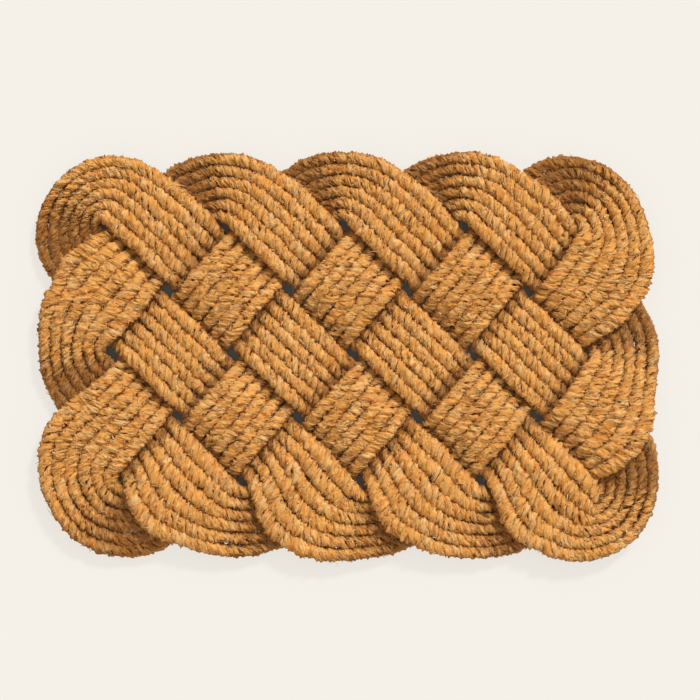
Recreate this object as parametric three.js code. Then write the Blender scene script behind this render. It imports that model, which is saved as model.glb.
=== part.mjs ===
// Door mat woven from coir rope.
// One band of six ropes lying side by side runs round a closed circuit of
// diagonals, over one crossing and under the next, and turns back at the edges.
// The ends of every rope meet under one tile, where twine holds them.
// Millimetres, Z up, origin on the floor under the middle of the mat.
import * as THREE from "three";

// --- driving dimensions ----------------------------------------------------
const COLUMNS = 10;            // half tiles along the mat
const ROWS = 6;                // half tiles across the mat
const STEP_X = 72.9;           // half tile along the mat
const STEP_Y = 77.8;           // half tile across the mat
const LEAN = 5.8;              // the lower rows sit this much further right, per row
const CENTRE_X = 5.78;           // puts the outline in the middle of the frame
const CENTRE_Y = 3.54;

const ROPE_COUNT = 6;          // ropes side by side in the band
const ROPE_PITCH = 15.3;       // from one rope to the next
const ROPE_WIDTH = 14.8;
const ROPE_HEIGHT = 14.2;
const ROPE_AIR = 0.65;         // least air between neighbours
const LAYER_GAP = 0.4;         // air between an upper and a lower rope
const LEVEL_RISE = ROPE_HEIGHT + LAYER_GAP;

const HOLD_EXTRA = 4.5;        // a rope stays level this far past the ropes it crosses
const SOFT_BEND = 30;          // half length of the slight bend at a crossing
const BIGHT_RADIUS = 62;       // middle of the band, round a single edge loop
const TURN_LEAD = 43;          // from a crossing to the first section of the turn after it
const RING_SPACING = 18;       // between sections round a turn
const RING_SNAP = 1;

// Edge points pulled out of the even grid by hand, as [column, row, right, up].
const PULLS = [
  [0, 1, 3, 0], [1, 0, 0, -5], [3, 0, 0, -6], [7, 0, 0, -2],
  [9, 0, -4, -12], [10, 1, -16, -3], [10, 3, -21, 2], [10, 5, -29, 4],
  [9, 6, -8, 4], [7, 6, 4, -8], [5, 6, 0, -9], [3, 6, 0, -2],
  [1, 6, -3, 7], [0, 5, 0, 4],
];

// How a turn is drawn tight: its edge point, the width left of the band's
// width, how far the band is drawn inward, and how far round that reaches.
const TURNS = [
  { points: [[0, 1], [1, 0]], tightness: 0.78, drawn: 11, reach: 110 },
  { points: [[9, 0], [10, 1]], tightness: 0.86, drawn: 3, reach: 110 },
  { points: [[10, 5], [9, 6]], tightness: 0.8, drawn: 0, reach: 110 },
  { points: [[1, 6], [0, 5]], tightness: 0.95, drawn: 0, reach: 110 },
];
const BIGHT_TIGHTNESS = 0.9;
const BIGHT_REACH = 75;
const TALL_SHARE = 0.35;       // the ropes squeezed there stand taller over this share of it

// Where the upper band spreads into a fan on its way to the edge:
// [column, row, spread of the outermost rope, middle of the fan past the crossing].
const FANS = [
  [2, 1, 3, 0], [4, 1, 4, 0], [6, 1, 4, 0], [8, 1, 4, 0],
  [9, 2, 14, 20], [9, 4, 19, 0], [1, 2, 17, 6], [1, 4, 11, 44],
  [2, 5, 25, 6], [4, 5, 26, 22], [6, 5, 23, 12], [8, 5, 24, 24],
];
const FAN_REACH = 80;
const WIDE_FAN = 10;           // fans wider than this get one more section

// The six joints, under the tile at this crossing.
const JOINT_POINT = [6, 5];
const JOINT_GAP = 1.6;         // between the two ends of a rope
const NECK_SCALE = 0.84;       // the bound ends are pulled this thin
const NECK_LENGTH = 17;        // from the joint to where the rope is full again
const NECK_TAPER = 1.5;
const WHIPPING_LENGTH = 8;
const WHIPPING_PLACE = 12.5;   // middle of a whipping from the joint
const SEIZING_LENGTH = 14;
const TWINE_CLEARANCE = 0.3;
const TWINE_INSET = 0.1;       // the binding stays this far inside the rope's outline

const ROPE_COLOURS = [0xb57b45, 0xb17741, 0xb98049, 0xb37a44, 0xb67d48, 0xaf7640];
const WHIPPING_COLOUR = 0x9a7647;
const SEIZING_COLOUR = 0xa9854f;

// --- the weave -------------------------------------------------------------
function isEdge(point) {
  const [column, row] = point;
  return column === 0 || column === COLUMNS || row === 0 || row === ROWS;
}

// The closed walk along the diagonals: it bounces off every edge.
function weaveCircuit() {
  const points = [];
  let [column, row, stepX, stepY] = [1, 0, 1, 1];
  do {
    points.push([column, row]);
    column += stepX;
    row += stepY;
    if (column === 0 || column === COLUMNS) stepX = -stepX;
    if (row === 0 || row === ROWS) stepY = -stepY;
  } while (!(column === 1 && row === 0));
  return points;
}

function gridPoint([column, row]) {
  const pull = PULLS.find((p) => p[0] === column && p[1] === row) ?? [0, 0, 0, 0];
  return new THREE.Vector2(
    (column - COLUMNS / 2) * STEP_X + LEAN * (row - ROWS / 2) + CENTRE_X + pull[2],
    (ROWS / 2 - row) * STEP_Y + CENTRE_Y + pull[3],
  );
}

const CIRCUIT = weaveCircuit();
const wrap = (index) => (index + CIRCUIT.length) % CIRCUIT.length;
const samePoint = (a, b) => a[0] === b[0] && a[1] === b[1];

// Length of straight taken up by the rounding at one point of the walk.
function roundingLength(index, turn) {
  if (!isEdge(CIRCUIT[index])) return SOFT_BEND;
  const here = gridPoint(CIRCUIT[index]);
  for (const beside of [wrap(index - 1), wrap(index + 1)]) {
    if (isEdge(CIRCUIT[beside])) return here.distanceTo(gridPoint(CIRCUIT[beside])) / 2;
  }
  return BIGHT_RADIUS * Math.tan(Math.abs(turn) / 2);
}

// The middle of the band as straight and curved pieces laid end to end.
// Each piece is { start, length, x, y, heading, bend }, bend being 1 / radius.
function layRoute() {
  const corners = CIRCUIT.map((point, index) => {
    const here = gridPoint(point);
    const before = here.clone().sub(gridPoint(CIRCUIT[wrap(index - 1)])).angle();
    const after = gridPoint(CIRCUIT[wrap(index + 1)]).sub(here).angle();
    const turn = Math.atan2(Math.sin(after - before), Math.cos(after - before));
    return { here, before, turn, cut: roundingLength(index, turn) };
  });
  const pieces = [];
  const places = [];
  let run = 0;
  let last = corners[corners.length - 1];
  let tail = endOfRounding(last);
  for (const corner of corners) {
    const entry = corner.here.clone().sub(polar(corner.before, corner.cut));
    const straight = entry.distanceTo(tail);
    pieces.push({ start: run, length: straight, x: tail.x, y: tail.y, heading: corner.before, bend: 0 });
    run += straight;
    const radius = corner.cut / Math.tan(Math.abs(corner.turn) / 2);
    const curved = Math.abs(corner.turn) > 1e-6 ? radius * Math.abs(corner.turn) : 2 * corner.cut;
    pieces.push({
      start: run, length: curved, x: entry.x, y: entry.y, heading: corner.before, bend: corner.turn / curved,
    });
    places.push(run + curved / 2);
    run += curved;
    tail = endOfRounding(corner);
  }
  return { pieces, places, length: run };
}

function polar(angle, radius) {
  return new THREE.Vector2(Math.cos(angle) * radius, Math.sin(angle) * radius);
}

function endOfRounding(corner) {
  return corner.here.clone().add(polar(corner.before + corner.turn, corner.cut));
}

const ROUTE = layRoute();

// Point and heading of the band's middle, this far round the circuit.
function routeAt(distance) {
  const s = ((distance % ROUTE.length) + ROUTE.length) % ROUTE.length;
  const piece = ROUTE.pieces.findLast((candidate) => candidate.start <= s);
  const along = s - piece.start;
  const heading = piece.heading + piece.bend * along;
  const chordFactor = piece.bend === 0 ? 1 : Math.sin(piece.bend * along / 2) / (piece.bend * along / 2 || 1);
  const reach = along === 0 ? 0 : along * (piece.bend === 0 ? 1 : chordFactor);
  const step = polar(piece.heading + piece.bend * along / 2, reach);
  return { x: piece.x + step.x, y: piece.y + step.y, heading };
}

// Signed way round the circuit from one place to another, the shorter way.
function wayBetween(from, to) {
  const half = ROUTE.length / 2;
  return ((to - from + half) % ROUTE.length + ROUTE.length) % ROUTE.length - half;
}

// One smooth swell: 1 at its middle, 0 beyond its reach.
function swell(distance, reach) {
  return Math.abs(distance) < reach ? 0.5 + 0.5 * Math.cos(Math.PI * distance / reach) : 0;
}

// Every turn of the route with its middle, its side and how tightly it is drawn.
function listTurns() {
  const turns = [];
  CIRCUIT.forEach((point, index) => {
    if (!isEdge(point) || isEdge(CIRCUIT[wrap(index - 1)])) return;
    const next = wrap(index + 1);
    const isCorner = isEdge(CIRCUIT[next]);
    const place = ROUTE.places[index];
    const middle = isCorner ? place + wayBetween(place, ROUTE.places[next]) / 2 : place;
    const settings = TURNS.find((turn) => turn.points.some((p) => samePoint(p, point)));
    const { tightness, drawn, reach } = isCorner
      ? settings
      : { tightness: BIGHT_TIGHTNESS, drawn: 0, reach: BIGHT_REACH };
    const bend = wayBetweenAngles(routeAt(middle - 10).heading, routeAt(middle + 10).heading);
    turns.push({ middle, side: Math.sign(bend), tightness, drawn, reach });
  });
  return turns;
}

function wayBetweenAngles(from, to) {
  return Math.atan2(Math.sin(to - from), Math.cos(to - from));
}

const LIST_OF_TURNS = listTurns();

// Share of the full band width left at this place.
function tightnessAt(s) {
  return LIST_OF_TURNS.reduce(
    (width, turn) => width - (1 - turn.tightness) * swell(wayBetween(turn.middle, s), turn.reach), 1);
}

function drawnAt(s) {
  return LIST_OF_TURNS.reduce(
    (sum, turn) => sum + turn.side * turn.drawn * swell(wayBetween(turn.middle, s), turn.reach), 0);
}

// --- crossings -------------------------------------------------------------
// Every visit of the walk to a crossing: whether the band is the upper one
// there, and whether an edge turn comes just before or just after it.
function listVisits() {
  const visits = [];
  CIRCUIT.forEach((point, index) => {
    if (isEdge(point)) return;
    const next = CIRCUIT[wrap(index + 1)];
    const fallsRight = (next[0] - point[0]) * (next[1] - point[1]) > 0;
    visits.push({
      point,
      isUpper: fallsRight === (point[1] % 2 === 1),
      isBeforeTurn: isEdge(next),
      isAfterTurn: isEdge(CIRCUIT[wrap(index - 1)]),
      place: ROUTE.places[index],
    });
  });
  return visits;
}

const VISITS = listVisits();

// Every fan with its middle on the route and the side it opens to.
function listFans() {
  return FANS.map(([column, row, spread, past]) => {
    const visit = VISITS.find((v) => samePoint(v.point, [column, row]) && v.isUpper);
    const way = visit.isBeforeTurn ? 1 : -1;
    const distance = (turn) => Math.abs(wayBetween(turn.middle, visit.place));
    const turn = LIST_OF_TURNS.reduce((nearest, other) => (distance(other) < distance(nearest) ? other : nearest));
    return { visit, spread, middle: visit.place + way * past, side: -turn.side };
  });
}

const LIST_OF_FANS = listFans();

// Sideways spread of one rope where its band fans out: the innermost rope of
// the turn stays put and the outermost moves most.
function fanAt(s, rope) {
  return LIST_OF_FANS.reduce((sum, fan) => {
    const place = rope / (ROPE_COUNT - 1);
    const rank = fan.side > 0 ? place : 1 - place;
    return sum + fan.side * fan.spread * rank * swell(wayBetween(fan.middle, s), FAN_REACH);
  }, 0);
}

// --- one rope --------------------------------------------------------------
// How far a rope lies to the left of the route.
function sidewaysOf(s, rope) {
  const place = (rope - (ROPE_COUNT - 1) / 2) * ROPE_PITCH;
  return place * tightnessAt(s) + drawnAt(s) + fanAt(s, rope);
}

// Middle of a rope in plan.
function ropePoint(s, rope) {
  const { x, y, heading } = routeAt(s);
  const sideways = sidewaysOf(s, rope);
  return new THREE.Vector2(x - Math.sin(heading) * sideways, y + Math.cos(heading) * sideways);
}

function ropeWay(s, rope) {
  return ropePoint(s + 1, rope).sub(ropePoint(s - 1, rope)).divideScalar(2);
}

// Where along its own way one rope meets another rope of the crossing band.
function meetingPlace(visit, rope, otherRope) {
  const other = VISITS.find((v) => v !== visit && samePoint(v.point, visit.point));
  let [s, t] = [visit.place, other.place];
  for (let round = 0; round < 8; round += 1) {
    const gap = ropePoint(t, otherRope).sub(ropePoint(s, rope));
    const along = ropeWay(s, rope);
    const across = ropeWay(t, otherRope);
    const area = along.cross(across);
    s += gap.cross(across) / area;
    t += gap.cross(along) / area;
  }
  return s;
}

// The stretch of a rope that stays level at a crossing.
function heldStretch(visit, rope) {
  const ends = [meetingPlace(visit, rope, 0), meetingPlace(visit, rope, ROPE_COUNT - 1)];
  return { from: Math.min(...ends) - HOLD_EXTRA, to: Math.max(...ends) + HOLD_EXTRA };
}

function middleOf(stretch) {
  return (stretch.from + stretch.to) / 2;
}

// Upright section of a rope: never wider than the room its neighbours leave.
function station(s, level, rope, scale = 1) {
  const tallness = LIST_OF_TURNS.reduce((sum, turn) =>
    sum + (1 / turn.tightness - 1) * swell(wayBetween(turn.middle, s), turn.reach * TALL_SHARE), 1);
  const height = ROPE_HEIGHT * tallness;
  const top = ROPE_HEIGHT + LEVEL_RISE;
  const middle = THREE.MathUtils.clamp(ROPE_HEIGHT / 2 + level * LEVEL_RISE, height / 2, top - height / 2);
  const centre = ropePoint(s, rope);
  const here = sidewaysOf(s, rope);
  const room = [rope - 1, rope + 1].filter((beside) => beside >= 0 && beside < ROPE_COUNT)
    .map((beside) => Math.abs(sidewaysOf(s, beside) - here) - ROPE_AIR);
  const drift = Math.cos(ropeWay(s, rope).angle() - routeAt(s).heading);
  return {
    centre: new THREE.Vector3(centre.x, centre.y, middle),
    width: Math.min(ROPE_WIDTH, ...room) * drift * scale,
    height: height * scale,
  };
}

// Section places round one turn, the same for every rope.
function turnRings(visit, nextVisit) {
  const gap = wayBetween(visit.place, nextVisit.place);
  const curved = gap - 2 * TURN_LEAD;
  const spans = Math.round(curved / RING_SPACING);
  return Array.from({ length: spans + 1 }, (_, step) => visit.place + TURN_LEAD + curved * step / spans);
}

// Sections between one crossing and the next, changing level smoothly.
function stationsBetween(from, to, rope) {
  const shift = from.place + wayBetween(from.place, to.place) - to.place;
  const leave = heldStretch(from, rope).to;
  const arrive = heldStretch(to, rope).from + shift;
  const rings = from.isBeforeTurn ? turnRings(from, to) : [leave, arrive];
  const start = rings.find((s) => s >= leave - RING_SNAP);
  const finish = rings.findLast((s) => s <= arrive + RING_SNAP);
  return rings.map((s) => {
    const share = THREE.MathUtils.smoothstep(s, start, finish);
    const level = THREE.MathUtils.lerp(Number(from.isUpper), Number(to.isUpper), share);
    return station(s, level, rope);
  });
}

function jointVisit() {
  return VISITS.findIndex((visit) => samePoint(visit.point, JOINT_POINT) && !visit.isUpper);
}

function isFanned(visit) {
  return LIST_OF_FANS.some((fan) => fan.visit === visit && fan.spread > WIDE_FAN);
}

// Sections of one rope from its joint once round the circuit to the joint again.
function ropeStations(rope) {
  const first = jointVisit();
  const joint = middleOf(heldStretch(VISITS[first], rope));
  const neck = (way) => [
    station(joint + way * JOINT_GAP / 2, 0, rope, NECK_SCALE),
    station(joint + way * NECK_LENGTH, 0, rope, NECK_SCALE),
    station(joint + way * (NECK_LENGTH + NECK_TAPER), 0, rope),
  ];
  const stations = neck(1);
  for (let count = 0; count < VISITS.length; count += 1) {
    const from = VISITS[(first + count) % VISITS.length];
    const to = VISITS[(first + count + 1) % VISITS.length];
    if (isFanned(from)) stations.push(station(from.place, 1, rope));
    stations.push(...stationsBetween(from, to, rope));
  }
  stations.push(...neck(-1).reverse());
  return stations;
}

// A curve made of given sections, for ExtrudeGeometry to follow: every ring
// stands upright, across the rope, with its own width and height.
class SectionCurve extends THREE.Curve {
  constructor(stations) {
    super();
    this.stations = stations;
  }

  getSpacedPoints() {
    return this.stations.map((ring) => ring.centre);
  }

  computeFrenetFrames() {
    const last = this.stations.length - 1;
    const frames = { tangents: [], normals: [], binormals: [] };
    this.stations.forEach((ring, index) => {
      const ahead = this.stations[Math.min(index + 1, last)].centre;
      const behind = this.stations[Math.max(index - 1, 0)].centre;
      const coming = flatDirection(behind, ring.centre);
      const going = flatDirection(ring.centre, ahead);
      const along = coming.add(going).normalize();
      frames.tangents.push(along);
      frames.normals.push(new THREE.Vector3(-along.y, along.x, 0).multiplyScalar(ring.width / 2));
      frames.binormals.push(new THREE.Vector3(0, 0, ring.height / 2));
    });
    return frames;
  }
}

function flatDirection(from, to) {
  const way = to.clone().sub(from);
  way.z = 0;
  return way.lengthSq() > 0 ? way.normalize() : way;
}

// Eight-sided outline, 2 wide and 2 high, with a flat side at the bottom.
function octagonPoints(width = 2, height = 2) {
  const short = Math.tan(Math.PI / 8);
  const corners = [[1, -short], [1, short], [short, 1], [-short, 1],
    [-1, short], [-1, -short], [-short, -1], [short, -1]];
  return corners.map(([x, y]) => new THREE.Vector2(x * width / 2, y * height / 2));
}

function makeRope(rope) {
  const stations = ropeStations(rope);
  const geometry = new THREE.ExtrudeGeometry(new THREE.Shape(octagonPoints()), {
    steps: stations.length - 1,
    extrudePath: new SectionCurve(stations),
    bevelEnabled: false,
  });
  return namedMesh(`coir_rope_${rope + 1}`, geometry, ROPE_COLOURS[rope], 0.95);
}

// --- the bindings at the joints ---------------------------------------------
// A sleeve of wound twine round the thin part of a rope, `offset` from its joint.
function makeBinding(name, rope, offset, length, colour) {
  const place = middleOf(heldStretch(VISITS[jointVisit()], rope)) + offset;
  const from = ropePoint(place - length / 2, rope);
  const to = ropePoint(place + length / 2, rope);
  const heading = to.clone().sub(from).angle();
  const outline = new THREE.Shape(octagonPoints(ROPE_WIDTH - 2 * TWINE_INSET, ROPE_HEIGHT - 2 * TWINE_INSET));
  outline.holes.push(new THREE.Path(octagonPoints(
    ROPE_WIDTH * NECK_SCALE + 2 * TWINE_CLEARANCE, ROPE_HEIGHT * NECK_SCALE + 2 * TWINE_CLEARANCE)));
  const geometry = new THREE.ExtrudeGeometry(outline, { depth: length, steps: 1, bevelEnabled: false });
  geometry.translate(0, 0, -length / 2);
  geometry.rotateX(Math.PI / 2);
  geometry.rotateZ(Math.PI / 2 + heading);
  geometry.translate((from.x + to.x) / 2, (from.y + to.y) / 2, ROPE_HEIGHT / 2);
  return namedMesh(name, geometry, colour, 0.9);
}

function makeBindings(rope) {
  const number = rope + 1;
  return [
    makeBinding(`end_whipping_${number}a`, rope, WHIPPING_PLACE, WHIPPING_LENGTH, WHIPPING_COLOUR),
    makeBinding(`end_whipping_${number}b`, rope, -WHIPPING_PLACE, WHIPPING_LENGTH, WHIPPING_COLOUR),
    makeBinding(`joint_seizing_${number}`, rope, 0, SEIZING_LENGTH, SEIZING_COLOUR),
  ];
}

function namedMesh(name, geometry, colour, roughness) {
  const material = new THREE.MeshStandardMaterial({ color: colour, roughness, metalness: 0 });
  const mesh = new THREE.Mesh(geometry, material);
  mesh.name = name;
  return mesh;
}

// --- the mat -----------------------------------------------------------------
function makeMat() {
  const mat = new THREE.Group();
  mat.name = "door_mat";
  for (let rope = 0; rope < ROPE_COUNT; rope += 1) {
    mat.add(makeRope(rope), ...makeBindings(rope));
  }
  return mat;
}

export default makeMat();
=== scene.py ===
"""Door mat woven from coir rope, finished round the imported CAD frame.

Six ropes lie side by side in one band that runs round a closed circuit of
diagonals, over one crossing and under the next. Each rope is three strands
twisted together, with stray fibres standing off it. Its two ends meet under
one tile, each whipped with twine and both seized together.
Metres, Z up, origin on the floor under the middle of the mat.
"""

import math

import bpy
import numpy as np
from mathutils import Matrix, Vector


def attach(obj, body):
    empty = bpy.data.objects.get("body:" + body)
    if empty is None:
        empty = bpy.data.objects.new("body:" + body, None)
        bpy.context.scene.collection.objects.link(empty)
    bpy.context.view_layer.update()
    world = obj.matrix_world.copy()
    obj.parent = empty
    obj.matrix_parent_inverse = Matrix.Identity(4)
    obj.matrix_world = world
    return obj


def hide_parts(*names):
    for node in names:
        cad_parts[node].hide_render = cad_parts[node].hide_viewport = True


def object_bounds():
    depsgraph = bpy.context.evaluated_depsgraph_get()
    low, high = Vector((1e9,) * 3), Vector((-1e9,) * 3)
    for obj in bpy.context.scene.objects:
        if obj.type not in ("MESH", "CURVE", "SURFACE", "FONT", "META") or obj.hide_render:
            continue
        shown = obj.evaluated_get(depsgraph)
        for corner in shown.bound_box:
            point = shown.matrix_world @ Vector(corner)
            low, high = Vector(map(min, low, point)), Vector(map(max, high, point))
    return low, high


bl_info = {
    "name": "Woven Rope Door Mat",
    "version": (1, 0, 0),
    "blender": (4, 5, 0),
    "location": "View3D > Sidebar > Door Mat",
    "description": "Builds a door mat woven from twisted coir rope",
    "category": "Object",
}

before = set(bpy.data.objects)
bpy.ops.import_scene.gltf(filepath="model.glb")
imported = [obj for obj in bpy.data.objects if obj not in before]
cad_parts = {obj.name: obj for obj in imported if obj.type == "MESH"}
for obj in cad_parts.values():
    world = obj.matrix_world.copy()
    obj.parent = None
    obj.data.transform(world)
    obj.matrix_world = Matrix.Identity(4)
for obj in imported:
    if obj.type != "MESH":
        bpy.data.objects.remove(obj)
CAD_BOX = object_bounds()

BODY = "root"
MM = 0.001
FULL_TURN = 2 * math.pi

# --- the weave, as the CAD lays it -------------------------------------------
COLUMNS = 10                  # half tiles from left to right
ROWS = 6                      # half tiles from the far side to the near side
STEP_X = 72.9 * MM
STEP_Y = 77.8 * MM
LEAN = 5.8 * MM               # each row lies this far to the right of the one behind it
CENTRE_X = 5.78 * MM          # of the grid, with the outline's middle over the origin
CENTRE_Y = 3.54 * MM

ROPE_COUNT = 6
ROPE_PITCH = 15.3 * MM        # from one rope's middle to the next one's
ROPE_WIDTH = 14.8 * MM
ROPE_HEIGHT = 14.2 * MM
LEVEL_RISE = 14.6 * MM        # from the lower layer of ropes to the upper one
MAT_TOP = ROPE_HEIGHT + LEVEL_RISE
WIDEST = 1.28                 # a rope with room to spare spreads to this times its width

SOFT_BEND = 30 * MM           # straight taken up by the slight bend at a crossing
BIGHT_RADIUS = 62 * MM        # of the band's middle round a single edge loop
STRAIGHT_TURN = 1e-6          # a smaller turn counts as none
TURN_PROBE = 10 * MM          # from a turn's middle to where its side is read
MEETING_STEPS = 8             # Newton steps to where two ropes meet

# Edge points pulled out of the even grid: (column, row): (right, up), in mm.
PULLS = {
    (0, 1): (3, 0), (1, 0): (0, -5), (3, 0): (0, -6), (7, 0): (0, -2),
    (9, 0): (-4, -12), (10, 1): (-16, -3), (10, 3): (-21, 2), (10, 5): (-29, 4),
    (9, 6): (-8, 4), (7, 6): (4, -8), (5, 6): (0, -9), (3, 6): (0, -2),
    (1, 6): (-3, 7), (0, 5): (0, 4),
}

# How each corner turn is drawn tight, by its first edge point: the share of
# the band's width left, and how far the band is drawn inward, in mm.
CORNER_TURNS = {
    (0, 1): (0.78, 11), (1, 0): (0.78, 11),
    (9, 0): (0.86, 3), (10, 1): (0.86, 3),
    (10, 5): (0.8, 0), (9, 6): (0.8, 0),
    (1, 6): (0.95, 0), (0, 5): (0.95, 0),
}
CORNER_REACH = 110 * MM
BIGHT_TIGHTNESS = 0.9         # the same share, for the single loops along the edges
BIGHT_REACH = 75 * MM         # along the route, each way from a turn's middle
TALL_SHARE = 0.35             # of a turn's reach, over which its ropes stand taller

# Where the upper band fans out on its way to the edge:
# (column, row): (spread of the outermost rope, middle past the crossing), mm.
FANS = {
    (2, 1): (3, 0), (4, 1): (4, 0), (6, 1): (4, 0), (8, 1): (4, 0),
    (9, 2): (14, 20), (9, 4): (19, 0), (1, 2): (17, 6), (1, 4): (11, 44),
    (2, 5): (25, 6), (4, 5): (26, 22), (6, 5): (23, 12), (8, 5): (24, 24),
}
FAN_REACH = 80 * MM

JOINT_POINT = (6, 5)
JOINT_GAP = 2 * MM            # left between a rope's two ends
NECK_SCALE = 0.84             # twine pulls a rope's ends this thin
NECK_LENGTH = 17 * MM
NECK_TAPER = 5 * MM
WHIPPING_LENGTH = 8 * MM
WHIPPING_PLACE = 12.5 * MM    # from the joint to a whipping's middle
SEIZING_LENGTH = 14 * MM

# --- how a rope is laid up ----------------------------------------------------
STRAND_COUNT = 3
STRAND_MIDDLE = 0.22          # from the rope's middle, as a share of its radius
STRAND_RADIUS = 0.78
STRAND_OVERLAP = 0.14         # strands reach this angle past where they first press together
STRAND_OUTER_POINTS = 9       # round the part of a strand that shows
LINE_STEP = 1 * MM            # between points of a rope's worked-out line
RING_STEP = 2.5 * MM          # between rings of a strand
DIP_EARLY = 20 * MM           # a rope starts to dip this far before it is past the others
FLOOR_CLEARANCE = 0.2 * MM
WANDER = 0.8 * MM             # how far a rope strays sideways in its band
LAY_START = 1.7               # each rope's twist starts this much further round than the last

# Ripples along a rope: (first seed, shortest wave, longest wave, number of
# waves added up, most times a wave goes round the strand).
LONG_LUMPS = (0, 9 * MM, 50 * MM, 7, 2)
SHORT_LUMPS = (50, 5 * MM, 9 * MM, 12, 6)
STRAND_SWAY = (100, 25 * MM, 90 * MM, 8, 0)
STRAND_WOBBLE = (200, 6 * MM, 30 * MM, 12, 0)
LAY_DRIFT = (300, 50 * MM, 300 * MM, 12, 0)
ROPE_STRAY = (400, 50 * MM, 200 * MM, 10, 0)
SHORT_LUMP_SIZE = 1.3         # times the long lumps

# Painted shade in the hollows, darkening the colour where shade falls: between
# strands it starts this far round from a strand's outermost line, and between
# ropes it reaches this many half heights from the rope's widest line.
STRAND_SEAM_START = 0.85
STRAND_SEAM_WIDTH = 0.95
STRAND_SEAM_SHADE = 0.45
ROPE_SEAM_REACH = 0.7

GRAIN_SHIFT = 11.0            # metres of grain between one strand's stretch and the next
NUDGE = 1e-6                  # keeps two directions from being exactly the same


# --- small tools ----------------------------------------------------------------
def smooth_share(values):
    """Smoothstep: 0 up to 0, 1 from 1 on, and a smooth S between."""
    share = np.clip(values, 0, 1)
    return share * share * (3 - 2 * share)


def swell(distance, reach):
    """One smooth swell: 1 at its middle, 0 beyond its reach, a cosine between."""
    inside = np.abs(distance) < reach
    return np.where(inside, 0.5 + 0.5 * np.cos(np.pi * distance / reach), 0.0)


def unit(vectors):
    """The same directions with length 1."""
    length = np.linalg.norm(vectors, axis=-1, keepdims=True)
    return vectors / np.maximum(length, 1e-12)


def angle_between(start, end):
    """The signed way from one heading to another, the shorter way round."""
    return math.atan2(math.sin(end - start), math.cos(end - start))


def ripples(kind, number, along, around=0.0):
    """Smooth lumps of about -1 to 1: a sum of sine waves, each with its own
    length along the rope, whole number of waves round it, and start."""
    first_seed, shortest, longest, count, most_round = kind
    rng = np.random.default_rng(first_seed + number)
    total = np.zeros(np.broadcast(along, around).shape)
    for _ in range(count):
        length = rng.uniform(shortest, longest)
        turns = rng.integers(-most_round, most_round + 1)
        start = rng.uniform(0, FULL_TURN)
        total += np.sin(FULL_TURN * along / length + turns * around + start)
    return total / math.sqrt(count)


# --- the route --------------------------------------------------------------------
def is_edge(point):
    """Whether a grid point lies on the outline, where the band turns back."""
    column, row = point
    return column in (0, COLUMNS) or row in (0, ROWS)


def weave_circuit():
    """The closed walk along the diagonals: it bounces off every edge."""
    points = []
    column, row, step_x, step_y = 1, 0, 1, 1
    while True:
        points.append((column, row))
        column += step_x
        row += step_y
        if column in (0, COLUMNS):
            step_x = -step_x
        if row in (0, ROWS):
            step_y = -step_y
        if (column, row) == (1, 0):
            return points


def grid_point(point):
    """Where a grid point lies: even steps from the middle, leaned over a
    little, plus the point's own pull."""
    column, row = point
    right, up = PULLS.get(point, (0, 0))
    return np.array([
        (column - COLUMNS / 2) * STEP_X + LEAN * (row - ROWS / 2) + CENTRE_X + right * MM,
        (ROWS / 2 - row) * STEP_Y + CENTRE_Y + up * MM,
    ])


CIRCUIT = weave_circuit()


def beside(index):
    """The places before and after this one on the circuit."""
    return (index - 1) % len(CIRCUIT), (index + 1) % len(CIRCUIT)


def rounding_length(index, turn):
    """The straight taken up by the rounding at one point of the walk."""
    if not is_edge(CIRCUIT[index]):
        return SOFT_BEND
    here = grid_point(CIRCUIT[index])
    for other in beside(index):
        if is_edge(CIRCUIT[other]):
            return np.linalg.norm(grid_point(CIRCUIT[other]) - here) / 2
    return BIGHT_RADIUS * math.tan(abs(turn) / 2)


def polar(angle, radius):
    """The flat vector of this length in this direction."""
    return np.array([math.cos(angle), math.sin(angle)]) * radius


class Route:
    """The middle of the band: straight and curved pieces laid end to end."""

    def __init__(self):
        """Each row is a piece: where it starts along the route, its first
        point, its heading there, and its bend, the turn over its length."""
        corners = [self.corner(index) for index in range(len(CIRCUIT))]
        rows = []
        places = []
        run = 0.0
        here, before, turn, cut = corners[-1]
        tail = here + polar(before + turn, cut)
        for here, before, turn, cut in corners:
            entry = here - polar(before, cut)
            straight = np.linalg.norm(entry - tail)
            rows.append((run, *tail, before, 0.0))
            run += straight
            curved = 2 * cut
            if abs(turn) > STRAIGHT_TURN:
                curved = cut / math.tan(abs(turn) / 2) * abs(turn)
            rows.append((run, *entry, before, turn / curved))
            places.append(run + curved / 2)
            run += curved
            tail = here + polar(before + turn, cut)
        self.start, self.x, self.y, self.heading, self.bend = np.array(rows).T.copy()
        self.places = np.array(places)
        self.length = run

    def corner(self, index):
        """Point, heading on the way in, turn and rounding at one place."""
        earlier, later = beside(index)
        here = grid_point(CIRCUIT[index])
        way_in = here - grid_point(CIRCUIT[earlier])
        way_out = grid_point(CIRCUIT[later]) - here
        before = math.atan2(way_in[1], way_in[0])
        turn = angle_between(before, math.atan2(way_out[1], way_out[0]))
        return here, before, turn, rounding_length(index, turn)

    def at(self, run):
        """Point and heading this far round: along each piece the heading
        grows with the bend, and the point is its chord away from the start."""
        run = np.mod(run, self.length)
        piece = np.searchsorted(self.start, run, side="right") - 1
        along = run - self.start[piece]
        half_turn = self.bend[piece] * along / 2
        chord = along * np.sinc(half_turn / np.pi)
        angle = self.heading[piece] + half_turn
        x = self.x[piece] + chord * np.cos(angle)
        y = self.y[piece] + chord * np.sin(angle)
        return x, y, angle + half_turn

    def way(self, start, end):
        """Signed way round from one place to another, the shorter way."""
        half = self.length / 2
        return np.mod(end - start + half, self.length) - half


ROUTE = Route()


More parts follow.
